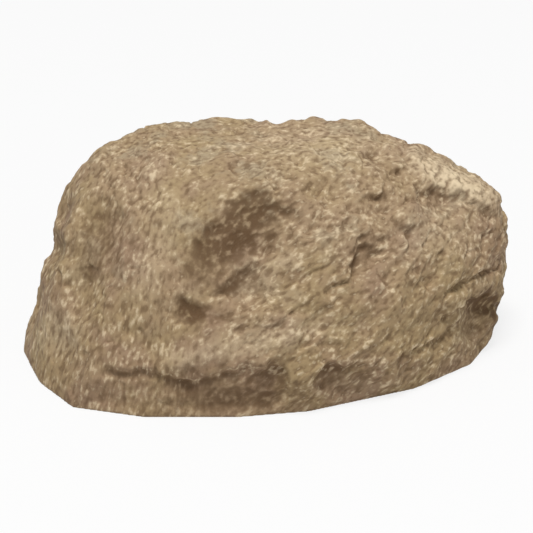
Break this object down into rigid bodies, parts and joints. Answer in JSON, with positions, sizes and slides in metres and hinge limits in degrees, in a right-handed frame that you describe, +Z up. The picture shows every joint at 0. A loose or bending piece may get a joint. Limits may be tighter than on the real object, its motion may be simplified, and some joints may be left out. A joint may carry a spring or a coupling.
{
  "type": "hide-a-key rock",
  "caption": "Hollow cast boulder that stands on its rim, with a key compartment in its underside behind a door that slides out at the back.",
  "frame": {"origin": "on the ground, under the middle of the stone's length and depth", "axes": "+X to the stone's right along its length, +Y to its back, where the door slides out, +Z up"},
  "size_m": [0.104, 0.069, 0.046],
  "materials": {
    "stone": "matte",
    "plate_plastic": "matte",
    "door_plastic": "satin",
    "seal_rubber": "matte",
    "brass": "satin",
    "steel": "satin",
    "foam": "matte"
  },
  "bodies": {
    "rock": {"rock_shell": "stone", "threaded_inserts": "brass", "base_seal": "seal_rubber", "base_plate": "plate_plastic", "base_screws": "steel", "mouth_seal": "seal_rubber", "key_tub": "plate_plastic", "tub_seal": "seal_rubber", "tub_screws": "steel", "foam_pad": "foam"},
    "door": {"door_plate": "door_plastic", "door_lip": "stone"}
  },
  "joints": [
    {"name": "door_slide", "type": "slide", "parent": "rock", "child": "door", "axis": [0, 1, 0], "range_m": [0, 0.028]}
  ]
}
